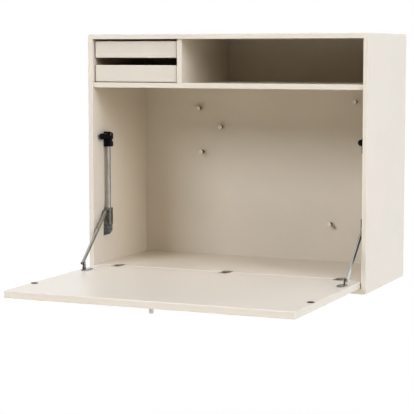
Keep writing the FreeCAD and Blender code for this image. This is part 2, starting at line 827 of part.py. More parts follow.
def runners(low):
    """Strips that carry one tray on the side panel and the divider."""
    y = (tray_front_y[1] + runner_setback, tray_rear_y)
    return runner_pair(low, tray_side_gap + groove_depth - slide_gap, y)


def runner_grooves(low):
    """Grooves in the tray's sides for its runners, open at the rear."""
    y = (tray_front_y[1] - overrun, tray_rear_y + overrun)
    return runner_pair(low, tray_side_gap + groove_depth, y, slide_gap)


# Build and write every node
for name, panel in cabinet_panels().items():
    save(name, panel)
save("back_panel", back_panel())
save("middle_shelf", middle_shelf())
save("divider", divider())
save("panel_dowels", *[bar(dowel_radius, start, end) for start, end in dowel_runs()])
save("wall_plates", *wall_plates())
save("back_pegs", *pegs())

whole_floor = floor_blank()
whole_leaf = leaf_blank()
save("desk_floor", desk_floor(whole_floor))
save("drop_leaf", drop_leaf(whole_leaf))
for name, x in hinge_places():
    save(name + "_hinge_plate", hinge_plate(x, whole_floor))
    save(name + "_hinge_cup", hinge_cup(x, whole_leaf))
save("hinge_pins", *[hinge_pin(x) for name, x in hinge_places()])
save("floor_hinge_screws", *[hinge_screw(x, 1) for name, x in hinge_places()])
save("leaf_hinge_screws", *[hinge_screw(x, -1) for name, x in hinge_places()])
save("pull_knob", pull_knob())

stay_nodes = {
    "guide_rod": rod_bar(rod_radius, rod_ends()),
    "lower_bracket": lower_bracket(),
    "top_bracket": top_bracket(),
    "catch_magnet": catch_magnet(),
    "slider": slider(),
    "brake_bush": brake_bush(),
    "arm": arm(),
    "arm_rivet": arm_rivet(),
    "foot_plate": foot_plate(),
    "foot_pin": foot_pin(),
}
for name, shape in stay_nodes.items():
    save("left_" + name, mirrored(shape))
    save("right_" + name, shape)
bracket_screws = [bracket_screw(place) for place in bracket_screw_places()]
foot_screws = [foot_screw(y) for y in foot_screw_places()]
save("bracket_screws", *bracket_screws, *[mirrored(screw) for screw in bracket_screws])
save("foot_screws", *foot_screws, *[mirrored(screw) for screw in foot_screws])
save("strike_discs", strike_disc(), mirrored(strike_disc()))

for name, low in (("upper_tray", upper_tray_z), ("lower_tray", lower_tray_z)):
    for piece, shape in tray_pieces(low).items():
        save(name + "_" + piece, shape)
save("tray_runners", *runners(lower_tray_z), *runners(upper_tray_z))
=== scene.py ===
# %% [markdown]
# # Fold down wall desk
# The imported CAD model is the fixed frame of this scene. Every panel, hinge and stay already
# has its true shape there. This lesson gives the pieces their finishes, puts cut screws where
# the CAD has plain ones, and sets a camera and a studio light like those of the photograph.

# %% Load the frame
import bpy
import bmesh
import math
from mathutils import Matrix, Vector


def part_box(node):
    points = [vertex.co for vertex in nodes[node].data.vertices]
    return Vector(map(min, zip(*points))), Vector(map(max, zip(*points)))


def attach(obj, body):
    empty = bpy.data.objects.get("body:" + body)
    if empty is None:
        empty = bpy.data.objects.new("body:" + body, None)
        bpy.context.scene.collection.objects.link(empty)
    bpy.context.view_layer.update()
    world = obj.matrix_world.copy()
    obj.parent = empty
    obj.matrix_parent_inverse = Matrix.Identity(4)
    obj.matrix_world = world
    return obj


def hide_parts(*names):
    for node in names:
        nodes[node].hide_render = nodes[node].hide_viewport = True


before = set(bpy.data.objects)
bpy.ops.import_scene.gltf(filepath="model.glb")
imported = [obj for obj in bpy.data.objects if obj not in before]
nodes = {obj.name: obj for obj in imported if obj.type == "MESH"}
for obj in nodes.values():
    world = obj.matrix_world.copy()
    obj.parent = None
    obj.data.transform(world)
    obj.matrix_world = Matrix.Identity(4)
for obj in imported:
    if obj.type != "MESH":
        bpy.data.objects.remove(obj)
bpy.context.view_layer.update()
print("nodes in the frame:", len(nodes))

# %% [markdown]
# ## Camera
# The photograph was taken from the right and a little above, with a long lens. A camera can
# be aimed by a constraint or by its angles. Here its place and angles were worked out from the
# cabinet's corners in the photograph, so they are written down as numbers. A camera looks
# along its own -Z axis: a quarter turn about X makes it level, the tilt takes it below the
# horizon, and the turn about Z swings it to the left.

# %% Camera
camera_place = (1.32874, -3.46630, -0.00164)
camera_turn = 0.4077
camera_tilt = 0.1031
film_width = 36
lens_length = 129.72
view_end = 100

camera = bpy.data.objects.new("camera", bpy.data.cameras.new("camera"))
camera.location = camera_place
camera.rotation_euler = (math.pi / 2 - camera_tilt, 0, camera_turn)
camera.data.sensor_width = film_width
camera.data.lens = lens_length
camera.data.clip_end = view_end
bpy.context.scene.collection.objects.link(camera)
bpy.context.scene.camera = camera
bpy.context.scene.view_settings.view_transform = "Standard"
print("camera at", camera_place, "with a lens of", lens_length, "mm")

# %% [markdown]
# ## Shader maths as plain sums
# A finish is a graph of nodes, and a graph written node by node is long to read. The class
# below holds one output socket. Adding or multiplying two of them, or one and a number, puts
# in the Math node, so a recipe reads as the sum that it is. Every other node comes from the
# method `node`, which sets what the node is before it fills or links the sockets.

# %% A socket that can be added and multiplied
class Wire:
    """An output socket in a tree of nodes."""

    def __init__(self, tree, socket):
        self.tree = tree
        self.socket = socket

    def node(self, kind, settings=None, sockets=None, output=0):
        """Any node: its type, its settings, then the values or links of its sockets."""
        made = self.tree.nodes.new(kind)
        for name, value in (settings or {}).items():
            setattr(made, name, value)
        for name, value in (sockets or {}).items():
            if isinstance(value, (Wire, list)):
                for wire in value if isinstance(value, list) else [value]:
                    self.tree.links.new(wire.socket, made.inputs[name])
            else:
                made.inputs[name].default_value = value
        return Wire(self.tree, made.outputs[output]) if made.outputs else None

    def maths(self, operation, other=0.0, swapped=False):
        """A Math node on this wire and another wire or number."""
        pair = (other, self) if swapped else (self, other)
        return self.node("ShaderNodeMath", {"operation": operation}, dict(enumerate(pair)))

    def __add__(self, other):
        return self.maths("ADD", other)

    def __radd__(self, other):
        return self.maths("ADD", other, swapped=True)

    def __sub__(self, other):
        return self.maths("SUBTRACT", other)

    def __rsub__(self, other):
        return self.maths("SUBTRACT", other, swapped=True)

    def __mul__(self, other):
        return self.maths("MULTIPLY", other)

    def __rmul__(self, other):
        return self.maths("MULTIPLY", other, swapped=True)

    def __abs__(self):
        return self.maths("ABSOLUTE")

    def larger(self, other):
        return self.maths("MAXIMUM", other)

    def part(self, axis):
        """One coordinate of a vector."""
        return self.node("ShaderNodeSeparateXYZ", None, {0: self}, output=axis)

    def ramp(self, low, high):
        """0 below low, 1 above high, with soft ends."""
        sockets = {"Value": self, "From Min": low, "From Max": high}
        return self.node("ShaderNodeMapRange", {"interpolation_type": "SMOOTHSTEP"}, sockets)

    def tint(self, first, second):
        """A colour that goes from first, where the wire is 0, to second, where it is 1."""
        sockets = {0: self, 6: colour(first), 7: colour(second)}
        return self.node("ShaderNodeMix", {"data_type": "RGBA"}, sockets, output=2)


def colour(value):
    """Three numbers as the four that a socket takes; a wire stays as it is."""
    return value if isinstance(value, Wire) else (*value, 1.0)


print("shader sums ready")

# %% [markdown]
# ## Floor and background
# The desk hangs on a wall, but the photograph shows it cut out on white. A white backdrop with
# more lamps on it would also light the desk, so the world is white only to the eye, and lights
# the object with a weak, even glow. Polished metal needs something dark to show its shape, so
# reflections see a white studio that is unlit towards the front left. Light Path tells these
# rays apart.

# %% Rays in the studio
white = (1.0, 1.0, 1.0)
dim_room = (0.05, 0.048, 0.045)
dim_way = (-0.77, -0.64, 0.0)
dim_edge = (0.35, 0.75)


def seen_rays(tree):
    """Two masks: rays from the camera, and rays off a mirror or through clear glass."""
    path = tree.nodes.new("ShaderNodeLightPath")
    kinds = ("Is Camera Ray", "Is Glossy Ray", "Is Transmission Ray")
    camera_ray, glossy_ray, clear_ray = (Wire(tree, path.outputs[kind]) for kind in kinds)
    return camera_ray, glossy_ray.larger(clear_ray)


def dim_side(way):
    """1 towards the unlit side of the studio, 0 elsewhere."""
    unit = way.node("ShaderNodeVectorMath", {"operation": "NORMALIZE"}, {0: way})
    sockets = {0: unit, 1: dim_way}
    toward = way.node("ShaderNodeVectorMath", {"operation": "DOT_PRODUCT"}, sockets, output=1)
    return toward.ramp(*dim_edge)


print("unlit side of the studio:", dim_way)

# %% World
world_glow = 0.01


def white_world():
    world = bpy.data.worlds.new("studio")
    world.use_nodes = True
    tree = world.node_tree
    way = Wire(tree, tree.nodes.new("ShaderNodeTexCoord").outputs["Generated"])
    camera_ray, mirror_ray = seen_rays(tree)
    mirrored = mirror_ray.tint((world_glow,) * 3, dim_side(way).tint(white, dim_room))
    look = camera_ray.tint(mirrored, white)
    tree.links.new(look.socket, tree.nodes["Background"].inputs["Color"])
    bpy.context.scene.world = world


white_world()
print("glow of the world:", world_glow)

# %% [markdown]
# A pale floor lies at the height that the writing surface calls for. It takes the shadow, and
# away from the object it fades to the white of the world. From below it is clear, so the
# underside of the desk can be looked at too.

# %% Floor
writing_height = 0.73
floor_half = 6.0
floor_shadow_reach = (0.9, 1.5)
floor_tone = (0.91, 0.860, 0.758)


def floor_finish(floor_z):
    material = bpy.data.materials.new("pale_floor")
    material.use_nodes = True
    tree = material.node_tree
    tree.nodes.clear()
    place = Wire(tree, tree.nodes.new("ShaderNodeTexCoord").outputs["Object"])
    far = place.node("ShaderNodeVectorMath", {"operation": "LENGTH"}, {0: place}, output=1)
    near, away = (math.hypot(reach, floor_z) for reach in floor_shadow_reach)
    camera_ray, mirror_ray = seen_rays(tree)
    fade = far.ramp(near, away) * camera_ray.larger(mirror_ray)
    grey = place.node("ShaderNodeBsdfDiffuse", None, {"Color": colour(floor_tone)})
    studio = (mirror_ray * dim_side(place)).tint(white, dim_room)
    bright = place.node("ShaderNodeEmission", None, {"Color": studio, "Strength": 1.0})
    above = place.node("ShaderNodeMixShader", None, {0: fade, 1: grey, 2: bright})
    clear = place.node("ShaderNodeBsdfTransparent")
    below = place.node("ShaderNodeNewGeometry", output="Backfacing") * camera_ray
    look = place.node("ShaderNodeMixShader", None, {0: below, 1: above, 2: clear})
    look.node("ShaderNodeOutputMaterial", None, {"Surface": look})
    return material


def pale_floor():
    floor_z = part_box("drop_leaf")[1].z - writing_height
    corners = [(-1, -1), (1, -1), (1, 1), (-1, 1)]
    mesh = bpy.data.meshes.new("floor")
    places = [(x * floor_half, y * floor_half, floor_z) for x, y in corners]
    mesh.from_pydata(places, [], [(0, 1, 2, 3)])
    mesh.materials.append(floor_finish(floor_z))
    floor = bpy.data.objects.new("floor", mesh)
    bpy.context.scene.collection.objects.link(floor)
    return floor_z


print("floor at height", round(pale_floor(), 3))

# %% [markdown]
# ## Soft boxes
# The photograph is lit from both sides and from above, with little light from straight ahead:
# the outer panels are bright and the deep open shelf is nearly black. Each soft box is an area
# light placed by its direction from the desk, far enough away to light both ends evenly. Its
# brightness is what the box would look like to the eye, and its power follows from that and
# its size. The light on the right comes in two halves, a nearly neutral one towards the front
# and a blue one at the side. That leaves the outer panel cool, while the light that bounces
# about inside the cabinet turns warm. Reflections see the white studio and not the boxes, so
# no panel flares from any side.

# %% Soft boxes
light_target = Vector((0.0, -0.30, -0.25))
light_distance = 8.0
rear_tint = (0.93, 1.0, 1.08)
soft_boxes = {
    "right_box": dict(azimuth=65, elevation=22, size=(2.6, 4.0), brightness=9.6,
                      tint=(0.99, 1.0, 1.08)),
    "side_box": dict(azimuth=82, elevation=22, size=(2.0, 4.0), brightness=6.5,
                     tint=(0.78, 0.985, 1.49)),
    "key_box": dict(azimuth=-27, elevation=30, size=(3.8, 3.0), brightness=11.55,
                    tint=(0.965, 1.015, 1.195)),
    "left_box": dict(azimuth=-90, elevation=40, size=(4.0, 3.6), brightness=6.2,
                     tint=(0.93, 1.0, 1.18)),
    "top_box": dict(azimuth=20, elevation=70, size=(4.0, 3.2), brightness=4.45,
                    tint=(0.93, 1.0, 1.17)),
    "rear_left": dict(azimuth=-150, elevation=30, size=(4.4, 4.4), brightness=0.5,
                      tint=rear_tint),
    "rear_right": dict(azimuth=158, elevation=25, size=(4.4, 4.4), brightness=2.6,
                       tint=rear_tint),
}


def soft_box(name, azimuth, elevation, size, brightness, tint):
    side, rise = math.radians(azimuth), math.radians(elevation)
    away = Vector((math.sin(side) * math.cos(rise), -math.cos(side) * math.cos(rise),
                   math.sin(rise)))
    lamp = bpy.data.lights.new(name, "AREA")
    lamp.shape = "RECTANGLE"
    lamp.size, lamp.size_y = size
    lamp.energy = brightness * math.pi * size[0] * size[1]
    lamp.color = tint
    box = bpy.data.objects.new(name, lamp)
    box.location = light_target + away * light_distance
    box.rotation_euler = away.to_track_quat("Z", "Y").to_euler()
    box.visible_camera = False
    box.visible_glossy = False
    bpy.context.scene.collection.objects.link(box)


for box_name, box_values in soft_boxes.items():
    soft_box(box_name, **box_values)
print("soft boxes:", ", ".join(soft_boxes))

# %% [markdown]
# ## Finishes
# Every finish starts the same way: one main shader and the Object coordinates, which are
# metres here, so a pattern has its real size. `grain` is cloud noise, stretched where a finish
# has a direction, and `swing` is a share of a noise, counted from its middle. `feed` links
# wires to the shader, and numbers that are the same all over are set on its sockets.

# %% Helpers for finishes
def blank_finish(name, constants=None):
    material = bpy.data.materials.new(name)
    material.use_nodes = True
    tree = material.node_tree
    shader = tree.nodes["Principled BSDF"]
    for socket, value in (constants or {}).items():
        shader.inputs[socket].default_value = value
    place = Wire(tree, tree.nodes.new("ShaderNodeTexCoord").outputs["Object"])
    return material, place, shader


def grain(place, scale, detail=2.0, stretch=None):
    if stretch:
        place = place.node("ShaderNodeMapping", None, {"Vector": place, "Scale": stretch})
    sockets = {"Vector": place, "Scale": scale, "Detail": detail}
    return place.node("ShaderNodeTexNoise", None, sockets)


def swing(noise, share):
    return (noise - 0.5) * share


def raised(height, depth):
    """A normal that shows the wire as relief of that depth in metres."""
    return height.node("ShaderNodeBump", None, {"Height": height, "Distance": depth,
                                                "Strength": 1.0})


def feed(shader, wires):
    for socket, wire in wires.items():
        wire.tree.links.new(wire.socket, shader.inputs[socket])


def dress(material, *names):
    for name in names:
        for place in nodes[name].material_slots:
            place.material = material
    print(material.name, "on", len(names), "nodes")


def dress_rows(recipe, rows):
    """Make a finish from the values of each row, and dress the nodes that the row names."""
    made = {}
    for name, (wearers, values) in rows.items():
        made[name] = recipe(name, **values)
        dress(made[name], *wearers)
    return made


def both(part):
    return [f"{side}_{part}" for side in ("left", "right")]


print("helpers for finishes ready")

# %% [markdown]
# ## Oat lacquer
# The panels are fibreboard sprayed with a satin lacquer in a warm oat colour. One flat colour
# would look like paper, because a sprayed coat dries with a fine orange peel, and its tone
# drifts slightly over a panel. So two close tones follow a slow cloud and a fine speck, the
# gloss follows them too, and the peel lifts the normal by a few hundredths of a millimetre.
# The tray fronts are painted a shade deeper than the cabinet, a painted shade of the recess
# that they sit in. The faces that lie against the wall are never sprayed, so there, where Y is
# 0, the brown fibres of the board show. The back panel is a darker hardboard, held by a row of
# brads round its rim. Thousands of faces for such small heads would never be seen, so the brads
# are a mask in the finish.

# %% Brads
brad_tone = (0.55, 0.54, 0.52)
brad_pitch = 0.072
brad_inset = 0.008
brad_radius = 0.0024
brad_edge = (1.1, 0.9)


def brad_heads(place, board):
    """1 on the brad heads along the rim of a board that faces Y."""
    low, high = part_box(board)
    middle, reach = (low + high) / 2, (high - low) / 2
    across, up = place.part("X") - middle.x, place.part("Z") - middle.z
    squares = []
    for along, beside, half in ((across, up, reach.z), (up, across, reach.x)):
        step = along.maths("PINGPONG", brad_pitch / 2)
        rim = abs(beside) - (half - brad_inset)
        squares.append(step * step + rim * rim)
    nearest = squares[0].maths("MINIMUM", squares[1])
    return nearest.ramp(*((share * brad_radius) ** 2 for share in brad_edge))


print("brads", brad_pitch * 1000, "mm apart")

# %% Oat lacquer
oat = ((0.665, 0.583, 0.450), (0.710, 0.628, 0.490))
# Tray fronts painted darker than the cabinet: a painted shade of the recess they sit in.
recess_shaded_tray_oat = ((0.622, 0.545, 0.428), (0.664, 0.588, 0.464))
fibreboard = ((0.36, 0.255, 0.155), (0.60, 0.465, 0.315))
hardboard = ((0.235, 0.150, 0.085), (0.43, 0.300, 0.185))
raw_edge = (-0.0008, -0.0003)
lacquer_shine = {"Specular IOR Level": 0.46, "Coat Roughness": 0.23}
lacquer_dullness = 0.29
board_dullness = 0.39
coat_share = 0.17
peel_depth = 0.00004
cloud_scale, speck_scale, peel_scale = 6.0, 800.0, 420.0
flake_scale, fibre_scale = 220.0, 1100.0
flake_stretch = (1.0, 1.0, 0.5)


def oat_lacquer(name, raw, nailed=None, tones=oat):
    """Lacquer on a board with two raw tones, with brads in its rear face where it is nailed."""
    material, place, shader = blank_finish(name, lacquer_shine)
    cloud = grain(place, cloud_scale, 3.0)
    speck = grain(place, speck_scale, 1.0)
    peel = grain(place, peel_scale)
    flakes = grain(place, flake_scale, 4.0, flake_stretch)
    fibre = grain(place, fibre_scale)
    tone = swing(cloud, 1.5) + swing(speck, 0.6) + 0.5
    bare = place.part("Y").ramp(*raw_edge)
    board = (flakes * 1.4 + fibre * 0.9 + cloud * 0.5 - 0.9).tint(*raw)
    wires = {
        "Roughness": lacquer_dullness + 0.10 * cloud + 0.06 * speck + board_dullness * bare,
        "Coat Weight": coat_share - coat_share * bare,
        "Normal": raised(peel + bare * fibre, peel_depth),
    }
    if nailed:
        brads = brad_heads(place, nailed) * bare
        board = brads.tint(board, brad_tone)
        wires["Metallic"] = brads
    wires["Base Color"] = bare.tint(tone.tint(*tones), board)
    feed(shader, wires)
    return material


lacquered = ["left_side_panel", "right_side_panel", "top_panel", "bottom_panel",
             "middle_shelf", "divider", "desk_floor", "drop_leaf"]
dress_rows(oat_lacquer, {
    "oat_lacquer": (lacquered, dict(raw=fibreboard)),
    "oat_lacquer_back": (["back_panel"], dict(raw=hardboard, nailed="back_panel")),
    "oat_lacquer_trays": (["upper_tray_front", "lower_tray_front"],
                          dict(raw=fibreboard, tones=recess_shaded_tray_oat)),
})

# %% [markdown]
# The pegs on the back panel are painted dark brown along their sides, a painted shade round
# their necks, and their lacquered ends are painted lighter than the back panel, a painted
# highlight. Two finishes on separate faces would do too, but the CAD mesh is left as it is, so
# one mask along Y, counted from the ends, parts the two.

# %% Pegs
# Painted light on the pegs: lighter ends, a painted highlight, and dark sides, a painted shade.
peg_end_highlight = (0.83, 0.74, 0.60)
peg_dark = (0.050, 0.026, 0.011)
peg_brown = (0.110, 0.062, 0.028)
peg_shine = {"Specular IOR Level": 0.3}
peg_stretch = (1.0, 0.08, 1.0)
end_coat = (0.0007, 0.0011)
peg_relief = 0.00004


def peg_finish():
    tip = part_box("back_pegs")[0].y
    material, place, shader = blank_finish("peg_shade_and_highlight", peg_shine)
    fibre = grain(place, 300.0, 3.0, peg_stretch)
    side = (place.part("Y") - tip).ramp(*end_coat)
    # The dark sides stand for the shade round the necks of the pegs.
    painted_side_shade = fibre.ramp(0.35, 0.65).tint(peg_dark, peg_brown)
    feed(shader, {
        "Base Color": side.tint(peg_end_highlight, painted_side_shade),
        "Roughness": 0.40 + 0.15 * fibre + 0.10 * side,
        "Normal": raised(fibre, peg_relief),
    })
    return material


dress(peg_finish(), "back_pegs")

# %% [markdown]
# ## Birch
# Behind their lacquered fronts the trays are birch ply, with solid birch runners and dowels.
# Wood grain is noise drawn out along one axis, so each piece takes the finish whose grain
# runs along its length. The plies are stripes across the thickness of a board. On a broad
# face the thickness doesn't change, so the stripes show on the thin edges alone.

# %% Birch
birch_pale = (0.68, 0.52, 0.34)
birch_deep = (0.55, 0.38, 0.22)
birch_line = (0.36, 0.23, 0.12)
birch_scale = 4.0
birch_relief = 0.00006
pore_edge = (0.60, 0.72)
pore_share = 0.35
ply_count = 5
ply_edge = (0.2, -0.2)
ply_share = 0.6
axis_names = "XYZ"


def drawn_out(along, lengthwise, crosswise):
    """The stretch of a noise whose lines run along one axis."""
    return tuple(lengthwise if axis == along else crosswise for axis in range(3))


def plies(place, board, axis):
    """1 on every second ply of a board, counted across its thickness."""
    low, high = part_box(board)
    turns_in_a_metre = math.tau * ply_count / 2 / (high[axis] - low[axis])
    turns = (place.part(axis_names[axis]) - low[axis]) * turns_in_a_metre
    return turns.maths("SINE").ramp(*ply_edge)


def birch(name, along, board=None, thin=0):
    """Birch whose grain runs along one axis, ply where a board and its thin axis are given."""
    material, place, shader = blank_finish(name)
    figure = grain(place, birch_scale, 4.0, drawn_out(along, 1.0, 18.0))
    fibre = grain(place, birch_scale, 3.0, drawn_out(along, 6.0, 260.0))
    tone = swing(figure, 1.8) + swing(fibre, 0.9) + 0.5
    pores = fibre.ramp(*pore_edge) * pore_share
    if board:
        pores = pores.larger(plies(place, board, thin) * ply_share)
    feed(shader, {
        "Base Color": pores.tint(tone.tint(birch_deep, birch_pale), birch_line),
        "Roughness": 0.46 + 0.16 * fibre,
        "Normal": raised(fibre, birch_relief),
    })
    return material


def trays(part):
    return [f"{tray}_{part}" for tray in ("upper_tray", "lower_tray")]


def ply_row(part, along, thin):
    return trays(part), dict(along=along, board=trays(part)[0], thin=thin)


dress_rows(birch, {
    "birch_across": (["panel_dowels"], dict(along=0)),
    "birch_lengthwise": (["tray_runners", *trays("base")], dict(along=1)),
    "birch_ply_back": ply_row("back", along=0, thin=1),
    "birch_ply_left_side": ply_row("left_side", along=1, thin=0),
    "birch_ply_right_side": ply_row("right_side", along=1, thin=0),
})

# %% [markdown]
# ## Metals
# The stays are the one bright place on the desk. Their rods are polished, and the arms and the
# pins at their feet are plated, so they show what is around them. The outer faces of the arms
# carry a painted reflection: painted bright at the foot, where they would mirror the leaf, and
# painted dark above, where they would mirror the dark slider. The sliders are cast zinc, the
# hinges and foot plates satin nickel, the rivets and hidden plates dull steel, and the magnets
# ferrite. Separate finishes would repeat each other, so one recipe serves them all: a metal
# with a base tone, a gloss that varies along fine brushed lines, and a faint relief of the same
# lines.

# %% A recipe for metal
# Colours and reach of the painted reflection on the outer faces of the arms.
painted_dark_reflection = (0.009, 0.0085, 0.008)
reflection_face_edge = (-0.0013, -0.0007)
reflection_rise = (0.018, 0.050)
painted_bright_reflection = (0.66, 0.655, 0.64)
brush_scale, smear_scale = 40.0, 60.0


def metal(name, dark, light, gloss, lines, relief, outer=None):
    """Metal brushed along lines: the stretch of the noise on the three axes. The faces as
    far out along X as those of the node `outer` get a painted reflection, painted bright at its
    foot and painted dark above."""
    material, place, shader = blank_finish(name, {"Metallic": 1.0})
    brush = grain(place, brush_scale, 3.0, lines)
    smear = grain(place, smear_scale)
    tone = (brush * 0.6 + smear * 0.4).ramp(0.35, 0.65).tint(dark, light)
    # Painted reflection: the outer faces of the arms go from painted bright at the foot to
    # painted dark above.
    if outer:
        low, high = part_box(outer)
        beyond = abs(place.part("X")) - high.x
        rise = place.part("Z") - low.z
        face = rise.ramp(*reflection_rise).tint(painted_bright_reflection, painted_dark_reflection)
        tone = beyond.ramp(*reflection_face_edge).tint(tone, face)
    feed(shader, {
        "Base Color": tone,
        "Roughness": gloss + swing(brush, 0.12) + swing(smear, 0.10),
        "Normal": raised(brush, relief),
    })
    return material


print("recipe for metal ready")

# %% Metal pieces
even = (30.0, 30.0, 30.0)
upright = (60.0, 60.0, 1.5)
sideways = (1.5, 60.0, 60.0)
hairline = 0.00001
hinges = [f"{place}_hinge_{half}" for place in ("left", "middle", "right")
          for half in ("plate", "cup")]
metals = dress_rows(metal, {
    "polished_rod": (both("guide_rod"), dict(
        dark=(0.40, 0.39, 0.38), light=(0.52, 0.51, 0.495), gloss=0.16,
        lines=upright, relief=hairline)),
    "arm_plating": (both("arm"), dict(
        dark=(0.40, 0.395, 0.38), light=(0.53, 0.525, 0.505), gloss=0.13,
        lines=upright, relief=hairline, outer="right_arm")),
    "pin_plating": (both("foot_pin"), dict(
        dark=(0.60, 0.595, 0.58), light=(0.76, 0.755, 0.74), gloss=0.13,
        lines=even, relief=hairline)),
    "cast_zinc": (both("slider"), dict(
        dark=(0.172, 0.169, 0.162), light=(0.262, 0.258, 0.248), gloss=0.14,
        lines=even, relief=hairline)),
    "satin_nickel": (hinges, dict(
        dark=(0.29, 0.287, 0.28), light=(0.41, 0.405, 0.395), gloss=0.34,
        lines=sideways, relief=0.00002)),
    "foot_nickel": (both("foot_plate"), dict(
        dark=(0.28, 0.277, 0.27), light=(0.41, 0.405, 0.395), gloss=0.24,
        lines=even, relief=0.00003)),
    "dull_steel": (["wall_plates", "hinge_pins", *both("arm_rivet")], dict(
        dark=(0.20, 0.20, 0.197), light=(0.30, 0.30, 0.295), gloss=0.36,
        lines=even, relief=0.00002)),
    "ferrite": (both("catch_magnet"), dict(
        dark=(0.012, 0.012, 0.013), light=(0.035, 0.035, 0.034), gloss=0.45,
        lines=even, relief=0.00005)),
})

# %% [markdown]
# The strike discs on the leaf are turned on a lathe, which leaves fine rings about the middle
# of each. The middle of each disc is also painted lighter than its rim, a painted highlight.
# The finish needs the distance from that middle. The two discs mirror each other, so the
# distance is measured with X taken as positive on both sides.

# %% Turned strike discs
ring_pitch = 0.0006
ring_relief = 0.00003
disc_dark = (0.022, 0.022, 0.022)
disc_light = (0.14, 0.14, 0.14)


def turned_discs():
    low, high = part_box("strike_discs")
    radius = (high.y - low.y) / 2
    material, place, shader = blank_finish("turned_steel", {"Metallic": 1.0})
    across_disc = abs(place.part("X")) - (high.x - radius)
    along_disc = place.part("Y") - (low.y + radius)
    square = across_disc * across_disc + along_disc * along_disc
    away = square.maths("SQRT") * (1.0 / radius)
    rings = (away * (math.tau * radius / ring_pitch)).maths("SINE") * 0.5 + 0.5
    smear = grain(place, 90.0)
    # Painted highlight: the tone falls from the middle of each disc towards its rim.
    tone = 0.5 - away * 0.45 + rings * 0.25 + swing(smear, 0.6)
    feed(shader, {
        "Base Color": tone.tint(disc_dark, disc_light),
        "Roughness": 0.34 + 0.12 * rings + swing(smear, 0.10),
        "Normal": raised(rings, ring_relief),
    })
    print("radius of a strike disc in mm:", round(radius * 1000, 2))
    return material


dress(turned_discs(), "strike_discs")

# %% [markdown]
# ## Moulded pieces
# The top brackets are black moulded plastic, the lower ones grey plastic with a coarse grain,
# and the knob is painted. Colour, gloss and relief could each have a pattern, but then they
# wouldn't meet. Here one noise at the size of the grain sets all three, so that a raised
# grain is also a lighter one.

# %% Moulded pieces
pebble_edge = (0.36, 0.64)


def moulded(name, dark, light, gloss, size, relief, sheen=0.5):
    material, place, shader = blank_finish(name, {"Specular IOR Level": sheen})
    pebble = grain(place, 1.0 / size)
    cloud = grain(place, 30.0)
    feed(shader, {
        "Base Color": pebble.ramp(*pebble_edge).tint(dark, light),
        "Roughness": gloss + swing(pebble, 0.10) + swing(cloud, 0.08),
        "Normal": raised(pebble, relief),
    })
    return material


dress_rows(moulded, {
    "moulded_black": (both("top_bracket") + both("brake_bush"), dict(
        dark=(0.0015, 0.0015, 0.002), light=(0.005, 0.005, 0.006), gloss=0.42,
        size=0.0006, relief=0.00005, sheen=0.07)),
    "grained_grey": (both("lower_bracket"), dict(
        dark=(0.013, 0.013, 0.013), light=(0.18, 0.176, 0.175), gloss=0.50,
        size=0.0022, relief=0.00040)),
    "knob_grey": (["pull_knob"], dict(
        dark=(0.70, 0.68, 0.65), light=(0.77, 0.75, 0.72), gloss=0.40,
        size=0.0008, relief=0.00003)),
})

# %% [markdown]
# ## Screws
# The CAD has plain countersunk screws. A real one has a cross recess that a driver fits and a
# thread that bites. Each could be cut by hand, but all of them are one screw repeated, so
# Geometry Nodes make it once from named sizes and set it on points. The points and directions
# come from the CAD screws themselves: each loose piece of a screw node is measured, and its
# wide end is the head.

# %% Places of the screws
merge_distance = 1e-6


def loose_pieces(name):
    """The points of each separate solid in a CAD node."""
    shape = bmesh.new()
    shape.from_mesh(nodes[name].data)
    bmesh.ops.remove_doubles(shape, verts=shape.verts, dist=merge_distance)
    left = set(shape.verts)
    while left:
        group, edge = set(), {left.pop()}
        while edge:
            group |= edge
            edge = {e.other_vert(v) for v in edge for e in v.link_edges} - group
        left -= group
        yield [vert.co.copy() for vert in group]
    shape.free()


def screw_place(points):
    """The middle of the head's face, the way it faces, and the radius and length."""
    low = Vector(min(p[axis] for p in points) for axis in range(3))
    high = Vector(max(p[axis] for p in points) for axis in range(3))
    size, middle = high - low, (low + high) / 2
    axis = max(range(3), key=lambda index: size[index])
    wide = max(points, key=lambda p: (p - middle).length - abs(p[axis] - middle[axis]))
    facing = Vector((0, 0, 0))
    facing[axis] = 1.0 if wide[axis] > middle[axis] else -1.0
    head = middle + facing * size[axis] / 2
    return head, facing, min(size) / 2, size[axis]


def screw_places(*names):
    found = [screw_place(points) for name in names for points in loose_pieces(name)]
    return sorted(found, key=lambda row: tuple(round(value, 5) for value in row[0]))


screw_homes = {
    "carcass": ("bracket_screws", "floor_hinge_screws"),
    "leaf": ("foot_screws", "leaf_hinge_screws"),
}
screw_rows = {body: screw_places(*names) for body, names in screw_homes.items()}
for body, rows in screw_rows.items():
    print(body, "has", len(rows), "screws, head radius in mm:",
          sorted({round(row[2] * 1000, 2) for row in rows}))

# %% [markdown]
# The tree has named inputs: the places, the shares of the head's radius that make up a screw,
# the seed and the finish. Every later node reads its sizes from there, so another screw is a
# matter of other numbers.

# %% Inputs of the screw tree
screw_shares = {"Shank": 0.47, "Recess reach": 0.64, "Recess width": 0.17, "Recess depth": 0.36,
                "Thread turns": 8.0}


def screw_inputs(tree):
    """The named inputs of the tree, as wires."""
    kinds = {"Places": "Geometry", **dict.fromkeys(screw_shares, "Float"), "Seed": "Int",
             "Finish": "Material"}
    for name, kind in kinds.items():
        tree.interface.new_socket(name, in_out="INPUT", socket_type="NodeSocket" + kind)
    tree.interface.new_socket("Screws", in_out="OUTPUT", socket_type="NodeSocketGeometry")
    inlet = tree.nodes.new("NodeGroupInput")
    return {name: Wire(tree, inlet.outputs[name]) for name in kinds}


print("shares of a screw:", screw_shares)

# %% [markdown]
# One head and one threaded shank of radius 1 are made, and the points scale them. The head is
# a cone with its wide end up. Two crossed bars are taken out of it for the recess. The thread
# is a spiral with a small round section along it.

